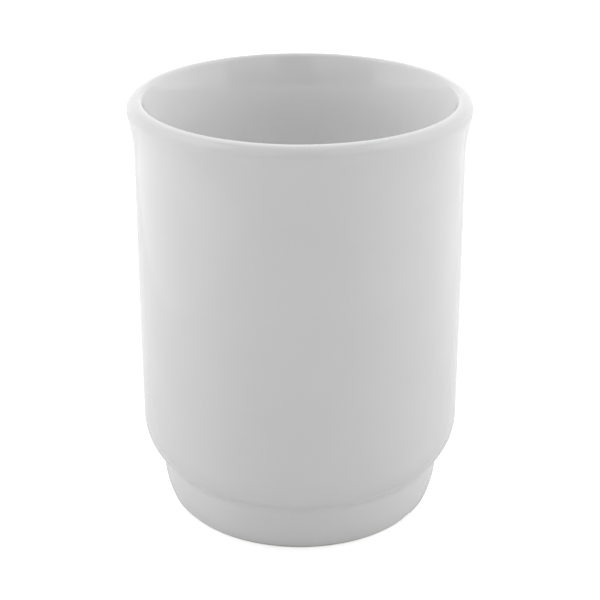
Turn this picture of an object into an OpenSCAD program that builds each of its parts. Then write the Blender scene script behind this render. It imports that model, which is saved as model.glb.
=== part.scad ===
// Porcelain pen cup: a one-piece fired body under a clear, glossy glaze.
// Every side of the cup is a chain of arcs, each tangent to the next, turned about +Z.
// Millimetres. The origin is on the table, at the centre of the foot.

/* [Overall] */
// Height of the lip above the table
height = 105; // [98:0.5:115]
// Outside diameter of the lip
rim_d = 82; // [81:0.5:86]
// Widest outside diameter of the body, just above the shoulder
body_d = 80.2; // [79:0.1:81]

/* [Wall] */
// Thickness of the side wall, glaze included
wall_t = 5; // [4.2:0.1:5.4]
// How much nearer the axis the side would be at the height of the lip, if it didn't flare
side_lean = 0.72; // [0.2:0.02:1.2]
// Height of the inside floor above the table
floor_z = 8; // [7:0.5:10]
// Radius of the inside corner between wall and floor
floor_corner_r = 16; // [12:1:18]
// Thickness of the fired glaze
glaze_t = 0.3; // [0.1:0.05:0.35]

/* [Lip] */
// Radius of the lip's outer rounding
lip_outer_r = 2.6; // [2.2:0.1:2.7]
// Radius of the lip's inner rounding
lip_inner_r = 1.3; // [0.6:0.1:1.6]
// Radius of the hollow flare under the lip
flare_r = 42; // [38:1:46]
// Height where the inside of the wall starts to flare
inner_flare_z = 90.5; // [86:0.5:92]

/* [Shoulder and foot] */
// Height where the shoulder's curve turns into the straight side
shoulder_top_z = 22.6; // [21:0.2:26]
// Radius of the shoulder's curve
shoulder_r = 13.5; // [12:0.5:15]
// Widest outside diameter of the foot
foot_d = 71; // [70:0.2:72]
// Height where the foot is widest
foot_widest_z = 10.3; // [9:0.1:11]
// Radius of the foot's outward curve
foot_curve_r = 24.5; // [22:0.5:28]
// Radius of the crease between foot and shoulder
crease_r = 3; // [1:0.1:3.6]

/* [Underside] */
// Radius of the bearing ring's two edges
foot_edge_r = 0.7; // [0.4:0.1:0.9]
// Width of the bearing ring that stands on the table
ring_w = 2.4; // [1.6:0.2:4]
// Depth of the hollow inside the bearing ring
well_depth = 3.2; // [3.2:0.1:4]
// Radius of the hollow's corner
well_corner_r = 2; // [1:0.1:2]
// Height of the band at the bottom that is left without glaze
bare_h = 1; // [0.9:0.05:1.2]

/* [Drain notch] */
// Width of the notch across the bearing ring, at the table
notch_w = 6; // [4:0.5:8]
// Height of the notch
notch_h = 1.4; // [1.3:0.1:2]
// Direction of the notch, in degrees from +X towards +Y
notch_direction = -37; // [-180:1:180]

/* [Hidden] */

// Largest turn between two points of an arc, its fewest steps, and the facets of a full turn
arc_step = 6;
fewest_steps = 4;
turn_facets = 180;
// Points nearer each other than this are one point
same_point = 0.001;

porcelain_colour = [0.90, 0.88, 0.84];
glaze_colour = [0.96, 0.96, 0.95];

// Runs past a face that is cut through, so that no skin is left
overshoot = 1;

// ---- Centres of the arcs. The glaze keeps them, and only its radii differ. ----

// The side is one very flat arc, upright where the shoulder ends
side_r = pow(height - shoulder_top_z, 2) / (2 * side_lean);
side_c = [body_d / 2 - side_r, shoulder_top_z];
shoulder_c = [body_d / 2 - shoulder_r, shoulder_top_z];
foot_c = [foot_d / 2 - foot_curve_r, foot_widest_z];
crease_c = circles_meet(foot_c, foot_curve_r + crease_r, shoulder_c, shoulder_r + crease_r, -1);
lip_c = [rim_d / 2 - lip_outer_r, height - lip_outer_r];
flare_c = circles_meet(side_c, side_r + flare_r, lip_c, lip_outer_r + flare_r, -1);

// The inner flare leaves the inside of the wall at inner_flare_z and touches the lip's inner rounding
lip_inner_c = [lip_c[0], height - lip_inner_r];
inner_side_r = side_r - wall_t;
inner_flare_start = [across(side_c, inner_side_r, inner_flare_z), inner_flare_z];
wall_normal = (inner_flare_start - side_c) / inner_side_r;
lip_to_start = inner_flare_start - lip_inner_c;
inner_flare_r = (lip_to_start * lip_to_start - pow(lip_inner_r, 2))
    / (2 * (-lip_to_start * wall_normal - lip_inner_r));
inner_flare_c = inner_flare_start + inner_flare_r * wall_normal;

// The inside corner touches the inside of the wall and the floor
corner_c = [
    across(side_c, inner_side_r - floor_corner_r, floor_z + floor_corner_r),
    floor_z + floor_corner_r
];

// The outer edge of the bearing ring touches the foot's curve under the glaze
foot_edge_c = [across(foot_c, foot_curve_r - glaze_t - foot_edge_r, foot_edge_r), foot_edge_r];
ring_outer_r = foot_edge_c[0];
ring_inner_r = ring_outer_r - ring_w;
well_r = ring_inner_r - foot_edge_r - glaze_t;
well_corner_c = [well_r - well_corner_r, well_depth - well_corner_r];

// ---- Plane geometry ----

// Where two circles cross: on the left of the way from a to b if side is 1, on its right if -1
function circles_meet(a, a_r, b, b_r, side) =
    let (
        way = (b - a) / norm(b - a),
        along = (pow(norm(b - a), 2) + a_r * a_r - b_r * b_r) / (2 * norm(b - a)),
        off = sqrt(a_r * a_r - along * along)
    )
    a + along * way + side * off * [-way[1], way[0]];

// Distance from the axis of the outer point of a circle at height z
function across(centre, r, z) = centre[0] + sqrt(r * r - pow(z - centre[1], 2));

// Direction from a to b, in degrees
function heading(a, b) = atan2(b[1] - a[1], b[0] - a[0]);

// Angle at which a circle passes height z on its outer side
function angle_at(centre, r, z) = asin((z - centre[1]) / r);

// Points of an arc from one angle to another
function arc(centre, r, from, to) =
    let (steps = max(fewest_steps, ceil(abs(to - from) / arc_step)))
    [for (i = [0 : steps]) let (a = from + (to - from) * i / steps) centre + r * [cos(a), sin(a)]];

function backwards(points) = [for (i = [len(points) - 1 : -1 : 0]) points[i]];

// Arcs that follow each other share an end, which an outline needs only once
function without_repeats(points) =
    [for (i = [0 : len(points) - 1]) if (i == 0 || norm(points[i] - points[i - 1]) > same_point) points[i]];

// ---- Outlines. depth is how far the line lies under the glazed surface. ----

// Outside, from the top of the bare band to the crest of the lip
function outer_line(depth) =
    let (
        foot_r = foot_curve_r - depth,
        foot_start = angle_at(foot_c, foot_r, bare_h),
        foot_end = heading(foot_c, crease_c),
        crease_end = heading(shoulder_c, crease_c),
        side_end = heading(side_c, flare_c),
        lip_start = heading(lip_c, flare_c)
    )
    concat(
        arc(foot_c, foot_r, foot_start, foot_end),
        arc(crease_c, crease_r + depth, foot_end + 180, crease_end + 180),
        arc(shoulder_c, shoulder_r - depth, crease_end, 0),
        arc(side_c, side_r - depth, 0, side_end),
        arc(flare_c, flare_r + depth, side_end + 180, lip_start + 180),
        arc(lip_c, lip_outer_r - depth, lip_start, 90)
    );

// Inside, from the crest of the lip to the centre of the floor
function inner_line(depth) =
    let (
        flare_start = heading(lip_inner_c, inner_flare_c) + 180,
        side_start = heading(side_c, inner_flare_c),
        corner_start = heading(side_c, corner_c)
    )
    concat(
        arc(lip_inner_c, lip_inner_r - depth, 90, flare_start),
        arc(inner_flare_c, inner_flare_r - depth, flare_start, side_start + 180),
        arc(side_c, inner_side_r + depth, side_start, corner_start),
        arc(corner_c, floor_corner_r + depth, corner_start, -90),
        [[0, floor_z - depth]]
    );

// Underside, from the centre of the hollow to the top of the bare band
function well_line(depth) =
    concat(
        [[0, well_depth + depth]],
        arc(well_corner_c, well_corner_r + depth, 90, 0),
        [[well_r + depth, bare_h]]
    );

// The unglazed band: down the hollow's side, across the bearing ring and up the foot
function bare_line() =
    let (
        foot_r = foot_curve_r - glaze_t,
        inner_edge_c = [ring_inner_r, foot_edge_r],
        edge_end = heading(foot_c, foot_edge_c)
    )
    concat(
        arc(inner_edge_c, foot_edge_r, 180, 270),
        arc(foot_edge_c, foot_edge_r, -90, edge_end),
        arc(foot_c, foot_r, edge_end, angle_at(foot_c, foot_r, bare_h))
    );

// ---- Solids ----

module turned(points) {
    rotate_extrude($fn = turn_facets) polygon(without_repeats(points));
}

// Everything between the glazed surface and the same line a coat of glaze deeper
module coat(surface, under) {
    turned(concat(surface, backwards(under)));
}

// A shallow channel with a round roof, cut outwards through the bearing ring
module drain_notch() {
    roof_r = (pow(notch_w / 2, 2) + notch_h * notch_h) / (2 * notch_h);
    cut_from = well_r - overshoot;
    cut_to = foot_d / 2 + overshoot;
    rotate([0, 0, notch_direction])
        translate([cut_from, 0, notch_h - roof_r])
            rotate([0, 90, 0])
                cylinder(r = roof_r, h = cut_to - cut_from, $fn = 96);
}

// Fired porcelain: wall, lip, floor and foot in one piece
module cup_body() {
    color(porcelain_colour)
        difference() {
            turned(concat(
                well_line(glaze_t), bare_line(), outer_line(glaze_t), inner_line(glaze_t)
            ));
            drain_notch();
        }
}

// Glaze on the outside, up to the crest of the lip
module outer_glaze() {
    color(glaze_colour)
        difference() {
            coat(outer_line(0), outer_line(glaze_t));
            drain_notch();
        }
}

// Glaze on the inside, from the crest of the lip down
module inner_glaze() {
    color(glaze_colour)
        coat(inner_line(0), inner_line(glaze_t));
}

// Glaze in the hollow under the foot
module foot_well_glaze() {
    color(glaze_colour)
        difference() {
            coat(well_line(0), well_line(glaze_t));
            drain_notch();
        }
}

cup_body();
outer_glaze();
inner_glaze();
foot_well_glaze();
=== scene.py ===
"""A porcelain pen cup on a pale studio floor.

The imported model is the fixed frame. Its four nodes are replaced by finer meshes of the same
outline: the fired body, and the coats of glaze outside, inside and in the hollow of the foot.
The outline is a chain of arcs that touch each other, worked out in millimetres.
"""

import math

import bpy
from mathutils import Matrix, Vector, noise


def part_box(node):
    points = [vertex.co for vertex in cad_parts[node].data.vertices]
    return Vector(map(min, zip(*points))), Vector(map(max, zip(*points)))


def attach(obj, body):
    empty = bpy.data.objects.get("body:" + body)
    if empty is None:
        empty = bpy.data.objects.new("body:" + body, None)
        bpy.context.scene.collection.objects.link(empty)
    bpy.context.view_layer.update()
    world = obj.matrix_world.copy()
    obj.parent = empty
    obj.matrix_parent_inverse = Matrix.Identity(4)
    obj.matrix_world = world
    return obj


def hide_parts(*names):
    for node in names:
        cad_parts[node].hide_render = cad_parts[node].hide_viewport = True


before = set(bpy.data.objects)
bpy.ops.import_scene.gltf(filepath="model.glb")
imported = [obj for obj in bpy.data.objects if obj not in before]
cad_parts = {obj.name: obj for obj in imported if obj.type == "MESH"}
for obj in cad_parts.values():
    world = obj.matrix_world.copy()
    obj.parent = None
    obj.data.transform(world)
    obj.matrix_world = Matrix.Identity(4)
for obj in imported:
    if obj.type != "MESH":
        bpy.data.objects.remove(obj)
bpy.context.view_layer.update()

MM = 0.001


def node_box(name):
    """Lowest and highest corner of a CAD node, in millimetres."""
    low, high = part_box(name)
    return Vector(low) / MM, Vector(high) / MM


# ---- Sizes of the cup, in millimetres ----

OUTER_LOW, OUTER_HIGH = node_box("outer_glaze")
WELL_TOP = node_box("foot_well_glaze")[1].z
INNER_BOTTOM = node_box("inner_glaze")[0].z

RIM_R = OUTER_HIGH.x
HEIGHT = OUTER_HIGH.z
BARE_H = OUTER_LOW.z
GLAZE = 0.3
FLOOR_Z = INNER_BOTTOM + GLAZE
FLOOR_CORNER_R = 16
WALL = 5

BODY_R = 40.1
SIDE_LEAN = 0.72
LIP_OUTER_R = 2.6
LIP_INNER_R = 1.3
FLARE_R = 42
INNER_FLARE_Z = 90.5

SHOULDER_Z = 22.6
SHOULDER_R = 13.5
FOOT_R = 35.5
FOOT_WIDEST_Z = 10.3
FOOT_CURVE_R = 24.5
CREASE_R = 3

FOOT_EDGE_R = 0.7
RING_W = 2.4
WELL_DEPTH = WELL_TOP - GLAZE
WELL_CORNER_R = 2

NOTCH_W = 6
NOTCH_H = 1.4
NOTCH_ROOF_R = ((NOTCH_W / 2) ** 2 + NOTCH_H**2) / (2 * NOTCH_H)
NOTCH_DIRECTION = math.radians(-37)
# How softly the edges of the notch are rounded
NOTCH_EDGE = 0.4

# ---- How finely the meshes are made ----

FULL_TURN = 2 * math.pi
# Steps round the cup, and the finer ones within NOTCH_SPREAD of the notch
ROUND_STEP = math.radians(1.5)
NOTCH_STEP = math.radians(0.25)
NOTCH_SPREAD = math.radians(9)
# Rows along the outline: the longest gap and the largest turn from one to the next
FINE_ROW = 0.25
SKIN_ROW = 2
HIDDEN_ROW = 8
FINE_TURN = math.radians(5)
HIDDEN_TURN = math.radians(12)
# An arc has at least this many steps
FEWEST_STEPS = 2
# Points nearer each other than this are one point
SAME_POINT = 0.001
# A corner takes the smooth normal where its cosine to the face's own normal is above this
SMOOTH_ABOVE = 0.3

# The surface is very slightly uneven, as pressed and fired clay is: how deep, and over what length
UNEVEN_DEPTH = 0.03
UNEVEN_LENGTH = 24


# ---- The outline: points are (distance from the axis, height) ----


def circles_meet(a, a_r, b, b_r):
    """Where two circles cross, on the right of the way from a to b."""
    way = (b - a).normalized()
    gap = (b - a).length
    along = (gap**2 + a_r**2 - b_r**2) / (2 * gap)
    off = math.sqrt(a_r**2 - along**2)
    return a + along * way + off * Vector((way.y, -way.x))


def across(centre, r, z):
    """Distance from the axis of the outer point of a circle at height z."""
    return centre.x + math.sqrt(r**2 - (z - centre.y) ** 2)


def heading(a, b):
    """Direction from a to b, as an angle."""
    return math.atan2(b.y - a.y, b.x - a.x)


def arc(centre, r, start, end, row=SKIN_ROW, turn=FINE_TURN):
    """Points of an arc from one angle to another."""
    angle = abs(end - start)
    steps = max(FEWEST_STEPS, math.ceil(angle * r / row), math.ceil(angle / turn))
    angles = [start + (end - start) * i / steps for i in range(steps + 1)]
    return [centre + r * Vector((math.cos(a), math.sin(a))) for a in angles]


def line(a, b, row):
    """Points of a straight stretch."""
    steps = max(1, math.ceil((b - a).length / row))
    return [a.lerp(b, i / steps) for i in range(steps + 1)]


def joined(*stretches):
    """The stretches as one line, in which a point shared by two of them comes once."""
    points = []
    for stretch in stretches:
        for point in stretch:
            if not points or (point - points[-1]).length > SAME_POINT:
                points.append(point)
    return points


SIDE_R = (HEIGHT - SHOULDER_Z) ** 2 / (2 * SIDE_LEAN)
SIDE_C = Vector((BODY_R - SIDE_R, SHOULDER_Z))
SHOULDER_C = Vector((BODY_R - SHOULDER_R, SHOULDER_Z))
FOOT_C = Vector((FOOT_R - FOOT_CURVE_R, FOOT_WIDEST_Z))
CREASE_C = circles_meet(FOOT_C, FOOT_CURVE_R + CREASE_R, SHOULDER_C, SHOULDER_R + CREASE_R)
LIP_C = Vector((RIM_R - LIP_OUTER_R, HEIGHT - LIP_OUTER_R))
FLARE_C = circles_meet(SIDE_C, SIDE_R + FLARE_R, LIP_C, LIP_OUTER_R + FLARE_R)

LIP_INNER_C = Vector((LIP_C.x, HEIGHT - LIP_INNER_R))
INNER_SIDE_R = SIDE_R - WALL
INNER_FLARE_START = Vector((across(SIDE_C, INNER_SIDE_R, INNER_FLARE_Z), INNER_FLARE_Z))
WALL_NORMAL = (INNER_FLARE_START - SIDE_C) / INNER_SIDE_R
LIP_TO_START = INNER_FLARE_START - LIP_INNER_C
INNER_FLARE_R = (LIP_TO_START.length_squared - LIP_INNER_R**2) / (
    2 * (-LIP_TO_START.dot(WALL_NORMAL) - LIP_INNER_R)
)
INNER_FLARE_C = INNER_FLARE_START + INNER_FLARE_R * WALL_NORMAL

CORNER_Z = FLOOR_Z + FLOOR_CORNER_R
CORNER_C = Vector((across(SIDE_C, INNER_SIDE_R - FLOOR_CORNER_R, CORNER_Z), CORNER_Z))

FOOT_EDGE_C = Vector((across(FOOT_C, FOOT_CURVE_R - GLAZE - FOOT_EDGE_R, FOOT_EDGE_R), FOOT_EDGE_R))
RING_INNER_R = FOOT_EDGE_C.x - RING_W
WELL_R = RING_INNER_R - FOOT_EDGE_R - GLAZE
WELL_CORNER_C = Vector((WELL_R - WELL_CORNER_R, WELL_DEPTH - WELL_CORNER_R))


def outer_line(depth, row=SKIN_ROW, turn=FINE_TURN):
    """Outside, from the top of the bare band to the crest of the lip, depth under the glazed surface."""
    foot_r = FOOT_CURVE_R - depth
    foot_start = math.asin((BARE_H - FOOT_C.y) / foot_r)
    foot_end = heading(FOOT_C, CREASE_C)
    crease_end = heading(SHOULDER_C, CREASE_C)
    side_end = heading(SIDE_C, FLARE_C)
    lip_start = heading(LIP_C, FLARE_C)
    return joined(
        arc(FOOT_C, foot_r, foot_start, foot_end, FINE_ROW, turn),
        arc(CREASE_C, CREASE_R + depth, foot_end + math.pi, crease_end + math.pi, row, turn),
        arc(SHOULDER_C, SHOULDER_R - depth, crease_end, 0, row, turn),
        arc(SIDE_C, SIDE_R - depth, 0, side_end, row, turn),
        arc(FLARE_C, FLARE_R + depth, side_end + math.pi, lip_start + math.pi, row, turn),
        arc(LIP_C, LIP_OUTER_R - depth, lip_start, math.pi / 2, row, turn),
    )


def inner_line(depth, row=SKIN_ROW, turn=FINE_TURN):
    """Inside, from the crest of the lip to the centre of the floor."""
    flare_start = heading(LIP_INNER_C, INNER_FLARE_C) + math.pi
    side_start = heading(SIDE_C, INNER_FLARE_C)
    corner_start = heading(SIDE_C, CORNER_C)
    floor_edge = Vector((CORNER_C.x, FLOOR_Z - depth))
    return joined(
        arc(LIP_INNER_C, LIP_INNER_R - depth, math.pi / 2, flare_start, row, turn),
        arc(INNER_FLARE_C, INNER_FLARE_R - depth, flare_start, side_start + math.pi, row, turn),
        arc(SIDE_C, INNER_SIDE_R + depth, side_start, corner_start, row, turn),
        arc(CORNER_C, FLOOR_CORNER_R + depth, corner_start, -math.pi / 2, row, turn),
        line(floor_edge, Vector((0, FLOOR_Z - depth)), row),
    )


def well_line(depth, row=SKIN_ROW, turn=FINE_TURN):
    """Underside, from the centre of the hollow to the top of the bare band."""
    corner_r = WELL_CORNER_R + depth
    roof_edge = Vector((WELL_CORNER_C.x, WELL_DEPTH + depth))
    wall_top = Vector((WELL_R + depth, WELL_CORNER_C.y))
    return joined(
        line(Vector((0, WELL_DEPTH + depth)), roof_edge, row),
        arc(WELL_CORNER_C, corner_r, math.pi / 2, 0, FINE_ROW, turn),
        line(wall_top, Vector((WELL_R + depth, BARE_H)), FINE_ROW),
    )


def bare_line():
    """The unglazed band: down the hollow's side, across the bearing ring and up the foot."""
    foot_r = FOOT_CURVE_R - GLAZE
    inner_edge_c = Vector((RING_INNER_R, FOOT_EDGE_R))
    edge_end = heading(FOOT_C, FOOT_EDGE_C)
    return joined(
        arc(inner_edge_c, FOOT_EDGE_R, math.pi, 1.5 * math.pi, FINE_ROW),
        line(Vector((RING_INNER_R, 0)), Vector((FOOT_EDGE_C.x, 0)), FINE_ROW),
        arc(FOOT_EDGE_C, FOOT_EDGE_R, -math.pi / 2, edge_end, FINE_ROW),
        arc(FOOT_C, foot_r, edge_end, math.asin((BARE_H - FOOT_C.y) / foot_r), FINE_ROW),
    )


# ---- Turning the outline ----


def turn_angles():
    """Angles of the rows round the cup: even steps, with finer ones near the drain notch."""
    angles = []
    angle = NOTCH_DIRECTION - NOTCH_SPREAD
    while angle < NOTCH_DIRECTION + NOTCH_SPREAD - NOTCH_STEP / 2:
        angles.append(angle)
        angle += NOTCH_STEP
    plain = FULL_TURN - 2 * NOTCH_SPREAD
    steps = math.ceil(plain / ROUND_STEP)
    angles += [NOTCH_DIRECTION + NOTCH_SPREAD + plain * i / steps for i in range(steps)]
    return angles


ANGLES = turn_angles()


def notch_roof(x, y):
    """Height of the notch's round roof over a point: below the table where there is no notch."""
    along = x * math.cos(NOTCH_DIRECTION) + y * math.sin(NOTCH_DIRECTION)
    beside = y * math.cos(NOTCH_DIRECTION) - x * math.sin(NOTCH_DIRECTION)
    if along < 0 or abs(beside) >= NOTCH_ROOF_R:
        return -HEIGHT
    return NOTCH_H - NOTCH_ROOF_R + math.sqrt(NOTCH_ROOF_R**2 - beside**2)


def softer_of(a, b, soft):
    """The larger of a and b, with the change from one to the other rounded off."""
    mix = max(soft - abs(a - b), 0) / soft
    return max(a, b) + mix**2 * soft / 4


def cut_notch(point):
    """Lifts what would fill the drain notch up to the notch's roof."""
    roof = notch_roof(point.x, point.y)
    if roof < -NOTCH_EDGE:
        return point
    return Vector((point.x, point.y, softer_of(point.z, roof, NOTCH_EDGE)))


def sunk(point, outward):
    """Moves a point of the glazed skin inwards by the surface's slight unevenness."""
    wave = noise.noise(point / UNEVEN_LENGTH)
    return point - outward * UNEVEN_DEPTH * (1 + wave) / 2


def outward_at(profile, i):
    """Direction out of the material at a point of a profile that has it on its left."""
    before = profile[max(i - 1, 0)]
    after = profile[min(i + 1, len(profile) - 1)]
    way = (after - before).normalized()
    return Vector((way.y, -way.x))


def turned(profile, uneven):
    """Rows of points, one row for each point of the profile. On the axis a row is one point."""
    rows = []
    for i, point in enumerate(profile):
        out = outward_at(profile, i)
        on_axis = point.x < SAME_POINT
        row = []
        for angle in ANGLES[:1] if on_axis else ANGLES:
            c, s = math.cos(angle), math.sin(angle)
            place = Vector((point.x * c, point.x * s, point.y))
            if uneven and not on_axis:
                place = sunk(place, Vector((out.x * c, out.x * s, out.y)))
            row.append(cut_notch(place))
        rows.append(row)
    return rows


def row_normals(rows):
    """Smooth normals of turned rows, from each point's neighbours along and round the cup.

    Rows that start on the axis face down there, and rows that end on it face up.
    """
    normals = []
    for i, row in enumerate(rows):
        if len(row) == 1:
            normals.append([Vector((0, 0, 1 if i else -1))])
            continue
        before = rows[max(i - 1, 0)]
        after = rows[min(i + 1, len(rows) - 1)]
        row_of_normals = []
        for j in range(len(row)):
            along = after[j % len(after)] - before[j % len(before)]
            round_way = row[(j + 1) % len(row)] - row[j - 1]
            row_of_normals.append(round_way.cross(along).normalized())
        normals.append(row_of_normals)
    return normals


# ---- Making pieces ----


def link_new(name, data):
    """An object of that name and data, in the scene."""
    thing = bpy.data.objects.new(name, data)
    bpy.context.collection.objects.link(thing)
    return thing


def quads_between(first, second):
    """Faces between two rows of point numbers. A row on the axis has a single number."""
    count = max(len(first), len(second))
    faces = []
    for j in range(count):
        k = (j + 1) % count
        corners = [
            first[j % len(first)],
            first[k % len(first)],
            second[k % len(second)],
            second[j % len(second)],
        ]
        faces.append(list(dict.fromkeys(corners)))
    return faces


def make_piece(name, rows, normals, closed, material):
    """A mesh of rows of points. closed joins the last row back to the first one."""
    numbers, points, point_normals = [], [], []
    for row, row_of_normals in zip(rows, normals):
        numbers.append(list(range(len(points), len(points) + len(row))))
        points += [p * MM for p in row]
        point_normals += row_of_normals
    faces = []
    for first, second in zip(numbers, numbers[1:] + (numbers[:1] if closed else [])):
        if len(first) > 1 or len(second) > 1:
            faces += quads_between(first, second)
    mesh = bpy.data.meshes.new(name)
    mesh.from_pydata(points, [], faces)
    mesh.polygons.foreach_set("use_smooth", [True] * len(mesh.polygons))
    mesh.update()
    corner_normals = []
    for polygon in mesh.polygons:
        for vertex in polygon.vertices:
            smooth = point_normals[vertex]
            is_near = smooth.dot(polygon.normal) > SMOOTH_ABOVE
            corner_normals.append(smooth if is_near else polygon.normal)
    mesh.normals_split_custom_set(corner_normals)
    mesh.materials.append(material)
    return link_new(name, mesh)


def glaze_coat(name, skin_rows, skin_normals, under_line, material):
    """A coat of glaze between rows of the skin and a line that lies a coat deeper."""
    under = turned(list(reversed(under_line)), uneven=False)
    under_normals = row_normals(under)
    return make_piece(name, skin_rows + under, skin_normals + under_normals, True, material)


# ---- Materials ----

WHITE = (1, 1, 1, 1)

# Noise patterns: how many patches fit in a metre, and how many levels of finer detail they have
MOTTLE = (60, 2)
GLOSS = (200, 2)
RIPPLE = (300, 1)
GRAIN = (4000, 3)
# Between these two of its values a pattern changes from one colour to the other
PATTERN_FROM = 0.3
PATTERN_TO = 0.7

# Heights of the surface's relief are in metres
GLAZE_COLOURS = ((0.865, 0.865, 0.865), (0.88, 0.88, 0.88))
GLAZE_IOR = 1.52
GLAZE_ROUGHNESS = (0.02, 0.04)
RIPPLE_HEIGHT = 0.000001

BARE_COLOURS = ((0.70, 0.68, 0.65), (0.80, 0.78, 0.75))
BARE_ROUGHNESS = 0.8
GRAIN_HEIGHT = 0.00004


def new_material(name):
    """A material, its node tree and its shader."""
    material = bpy.data.materials.new(name)
    material.use_nodes = True
    tree = material.node_tree
    return material, tree, tree.nodes["Principled BSDF"]


def noise_node(tree, pattern, coords):
    """A noise pattern with values from 0 to 1."""
    scale, detail = pattern
    node = tree.nodes.new("ShaderNodeTexNoise")
    node.inputs["Scale"].default_value = scale
    node.inputs["Detail"].default_value = detail
    tree.links.new(coords, node.inputs["Vector"])
    return node.outputs["Fac"]


def object_coords(tree):
    """Where a place lies on its object, in metres."""
    return tree.nodes.new("ShaderNodeTexCoord").outputs["Object"]


def pattern_colours(tree, pattern, colours):
    """Two colours that the pattern mixes."""
    node = tree.nodes.new("ShaderNodeValToRGB")
    stops = zip(node.color_ramp.elements, (PATTERN_FROM, PATTERN_TO), colours)
    for element, position, colour in stops:
        element.position = position
        element.color = (*colour, 1)
    tree.links.new(pattern, node.inputs["Fac"])
    return node.outputs["Color"]


def range_node(tree, value, low, high):
    """Spreads a 0 to 1 value over low to high."""
    node = tree.nodes.new("ShaderNodeMapRange")
    node.inputs["To Min"].default_value = low
    node.inputs["To Max"].default_value = high
    tree.links.new(value, node.inputs["Value"])
    return node.outputs["Result"]


def bump_node(tree, pattern, height):
    """Normals of a surface that the pattern raises by up to height."""
    node = tree.nodes.new("ShaderNodeBump")
    node.inputs["Distance"].default_value = height
    tree.links.new(pattern, node.inputs["Height"])
    return node.outputs["Normal"]


def glaze_material():
    """Clear glaze over white porcelain: glossy, very slightly mottled and rippled."""
    material, tree, shader = new_material("white_glaze")
    coords = object_coords(tree)
    mottle = noise_node(tree, MOTTLE, coords)
    colour = pattern_colours(tree, mottle, GLAZE_COLOURS)
    tree.links.new(colour, shader.inputs["Base Color"])
    shader.inputs["IOR"].default_value = GLAZE_IOR
    gloss = noise_node(tree, GLOSS, coords)
    tree.links.new(range_node(tree, gloss, *GLAZE_ROUGHNESS), shader.inputs["Roughness"])
    ripple = noise_node(tree, RIPPLE, coords)
    tree.links.new(bump_node(tree, ripple, RIPPLE_HEIGHT), shader.inputs["Normal"])
    return material


def bare_material():
    """Unglazed porcelain: matt, a little warmer than the glaze, with a fine grain."""
    material, tree, shader = new_material("bare_porcelain")
    grain = noise_node(tree, GRAIN, object_coords(tree))
    colour = pattern_colours(tree, grain, BARE_COLOURS)
    tree.links.new(colour, shader.inputs["Base Color"])
    shader.inputs["Roughness"].default_value = BARE_ROUGHNESS
    tree.links.new(bump_node(tree, grain, GRAIN_HEIGHT), shader.inputs["Normal"])
    return material


# ---- The cup ----

glaze = glaze_material()
bare = bare_material()

outer = outer_line(0)
inner = inner_line(0)
skin = turned(joined(outer, inner), uneven=True)
skin_normals = row_normals(skin)
crest = len(outer)

outer_coat = glaze_coat(
    "outside_glaze_coat",
    skin[:crest],
    skin_normals[:crest],
    outer_line(GLAZE, HIDDEN_ROW, HIDDEN_TURN),
    glaze,
)
inner_coat = glaze_coat(
    "inside_glaze_coat",
    skin[crest - 1 :],
    skin_normals[crest - 1 :],
    inner_line(GLAZE, HIDDEN_ROW, HIDDEN_TURN),
    glaze,
)

well_skin = turned(well_line(0), uneven=True)
well_coat = glaze_coat(
    "foot_hollow_glaze_coat", well_skin, row_normals(well_skin), well_line(GLAZE), glaze
)

body_rows = turned(
    joined(
        well_line(GLAZE),
        bare_line(),
        outer_line(GLAZE, HIDDEN_ROW, HIDDEN_TURN),
        inner_line(GLAZE, HIDDEN_ROW, HIDDEN_TURN),
    ),
    uneven=False,
)
fired_body = make_piece("fired_porcelain_body", body_rows, row_normals(body_rows), False, bare)

for piece, node, slot in (
    (fired_body, "cup_body", "porcelain"),
    (outer_coat, "outer_glaze", "glaze"),
    (inner_coat, "inner_glaze", "glaze"),
    (well_coat, "foot_well_glaze", "glaze"),
):
    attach(piece, "root")
    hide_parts(node)


# ---- Studio ----

# The distance is in metres, the lens in millimetres and the shift in widths of the picture
CAMERA_DISTANCE = 0.3667
CAMERA_PITCH = math.radians(24)
CAMERA_LENS = 87.7
CAMERA_SHIFT = -0.0047
# The camera sees what lies between these distances
CAMERA_NEAR = 0.01
CAMERA_FAR = 100

# The white tent round the cup, the same on the left and on the right. A side angle is 0 towards
# the camera and 180 behind the cup, and an elevation runs up from the table, both in degrees.
# Each part of the tent has a brightness of its own. A limit past 0, 90 or 180 degrees leaves no
# soft edge on that side.
TENT = (
    # from side angle, to side angle, from elevation, to elevation, brightness
    (-20, 60, -5, 20, 0.35),
    (-20, 60, 20, 45, 0.85),
    (-20, 60, 45, 75, 0.2),
    (60, 110, -5, 30, 1.3),
    (60, 110, 30, 60, 1.8),
    (110, 200, -5, 60, 1.2),
    (-20, 60, 75, 100, 0.35),
    (60, 200, 60, 100, 0.35),
)
TENT_SOFTNESS = 8
# The opening for the camera is dark. Its first two limits are angles from the camera's side,
# positive to the camera's right, and the other two are elevations.
OPENING = (-10, 18.5, -5, 75)
OPENING_SOFTNESS = 2

TABLE_SIZE = 12
TABLE_COLOUR = (0.8, 0.8, 0.8, 1)
TABLE_ROUGHNESS = 0.5
# The table glows faintly: not at all in front of GLOW_START, and fully from GLOW_END back, along Y
GLOW = 0.24
GLOW_START = -0.04
GLOW_END = 0.1
# How much brighter the camera sees the table, as in a photograph made to lose it
OVEREXPOSURE = 0.6

# Lit patches of the table on both sides of the cup, which show as soft shapes in the glaze:
# from x, to x, from y, to y, brightness
PATCHES = (
    (-0.5, -0.165, -0.25, 0.25, 0.24),
    (0.145, 0.5, -0.25, 0.25, 0.12),
)
PATCH_SOFTNESS = 0.006

# Light passes from wall to wall inside the cup many times
DIFFUSE_BOUNCES = 12


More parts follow.
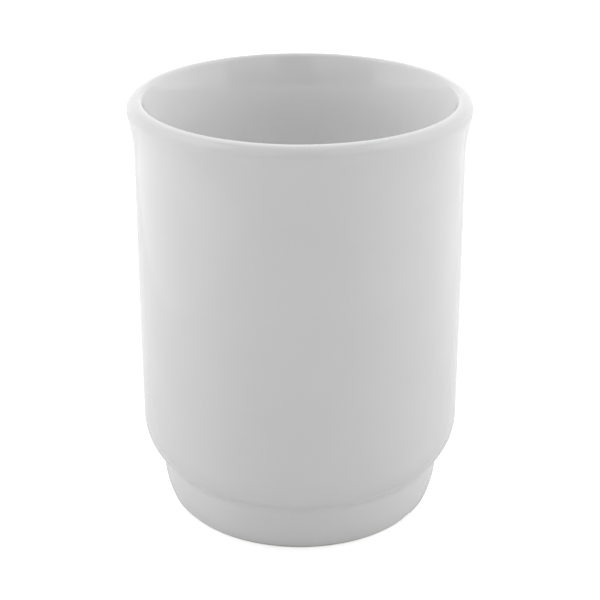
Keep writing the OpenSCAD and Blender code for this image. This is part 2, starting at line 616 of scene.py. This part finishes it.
def math_node(tree, operation, *inputs):
    """A calculation with numbers and other nodes' results."""
    node = tree.nodes.new("ShaderNodeMath")
    node.operation = operation
    for socket, value in zip(node.inputs, inputs):
        if isinstance(value, (int, float)):
            socket.default_value = value
        else:
            tree.links.new(value, socket)
    return node.outputs[0]


def step_node(tree, value, start, end):
    """Rises smoothly from 0 at start to 1 at end."""
    node = tree.nodes.new("ShaderNodeMapRange")
    node.interpolation_type = "SMOOTHSTEP"
    node.inputs["From Min"].default_value = start
    node.inputs["From Max"].default_value = end
    tree.links.new(value, node.inputs["Value"])
    return node.outputs["Result"]


def window_node(tree, value, low, high, soft):
    """1 between low and high and 0 outside, with a soft change at both."""
    rise = step_node(tree, value, low - soft / 2, low + soft / 2)
    fall = step_node(tree, value, high - soft / 2, high + soft / 2)
    return math_node(tree, "SUBTRACT", rise, fall)


def rectangle_node(tree, x, y, x_from, x_to, y_from, y_to, soft):
    """1 where x and y both lie between their limits and 0 elsewhere, with soft edges."""
    within_x = window_node(tree, x, x_from, x_to, soft)
    within_y = window_node(tree, y, y_from, y_to, soft)
    return math_node(tree, "MULTIPLY", within_x, within_y)


def with_rectangles(tree, total, x, y, rectangles, soft):
    """Adds to total the brightness of each rectangle in which x and y lie."""
    for *limits, brightness in rectangles:
        inside = rectangle_node(tree, x, y, *limits, soft)
        total = math_node(tree, "ADD", math_node(tree, "MULTIPLY", inside, brightness), total)
    return total


def table_material():
    """White, with a glow behind the cup, lit patches beside it and more for the camera."""
    material, tree, shader = new_material("table_white")
    shader.inputs["Base Color"].default_value = TABLE_COLOUR
    shader.inputs["Roughness"].default_value = TABLE_ROUGHNESS
    shader.inputs["Emission Color"].default_value = WHITE
    split = tree.nodes.new("ShaderNodeSeparateXYZ")
    tree.links.new(object_coords(tree), split.inputs[0])
    x, y = split.outputs["X"], split.outputs["Y"]
    glow = math_node(tree, "MULTIPLY", step_node(tree, y, GLOW_START, GLOW_END), GLOW)
    total = with_rectangles(tree, glow, x, y, PATCHES, PATCH_SOFTNESS)
    camera_ray = tree.nodes.new("ShaderNodeLightPath").outputs["Is Camera Ray"]
    extra = math_node(tree, "MULTIPLY", camera_ray, OVEREXPOSURE)
    tree.links.new(math_node(tree, "ADD", total, extra), shader.inputs["Emission Strength"])
    return material


def make_table():
    """A level table, larger than any view of the cup."""
    half = TABLE_SIZE / 2
    corners = [(-half, -half, 0), (half, -half, 0), (half, half, 0), (-half, half, 0)]
    mesh = bpy.data.meshes.new("studio_table")
    mesh.from_pydata(corners, [], [(0, 1, 2, 3)])
    mesh.materials.append(table_material())
    link_new("studio_table", mesh)


def make_tent():
    """The tent, as a sky that is brighter on some sides than on others."""
    world = bpy.data.worlds.new("tent")
    world.use_nodes = True
    tree = world.node_tree
    bpy.context.scene.world = world
    split = tree.nodes.new("ShaderNodeSeparateXYZ")
    tree.links.new(tree.nodes.new("ShaderNodeTexCoord").outputs["Generated"], split.inputs[0])
    towards_camera = math_node(tree, "MULTIPLY", split.outputs["Y"], -1)
    turn = math_node(tree, "ARCTAN2", split.outputs["X"], towards_camera)
    azimuth = math_node(tree, "DEGREES", turn)
    elevation = math_node(tree, "DEGREES", math_node(tree, "ARCSINE", split.outputs["Z"]))
    side_angle = math_node(tree, "ABSOLUTE", azimuth)
    total = with_rectangles(tree, 0, side_angle, elevation, TENT, TENT_SOFTNESS)
    opening = rectangle_node(tree, azimuth, elevation, *OPENING, OPENING_SOFTNESS)
    total = math_node(tree, "MULTIPLY", total, math_node(tree, "SUBTRACT", 1, opening))
    tree.links.new(total, tree.nodes["Background"].inputs["Color"])


def make_camera():
    """A camera in front of the cup that looks down at the middle of its height."""
    camera = link_new("camera", bpy.data.cameras.new("camera"))
    aim = HEIGHT / 2 * MM
    back, up = math.cos(CAMERA_PITCH), math.sin(CAMERA_PITCH)
    camera.location = (0, -CAMERA_DISTANCE * back, aim + CAMERA_DISTANCE * up)
    camera.rotation_euler = (math.pi / 2 - CAMERA_PITCH, 0, 0)
    camera.data.lens = CAMERA_LENS
    camera.data.shift_y = CAMERA_SHIFT
    camera.data.clip_start = CAMERA_NEAR
    camera.data.clip_end = CAMERA_FAR
    bpy.context.scene.camera = camera


make_table()
make_tent()
make_camera()
bpy.context.scene.view_settings.view_transform = "Standard"
bpy.context.scene.cycles.diffuse_bounces = DIFFUSE_BOUNCES
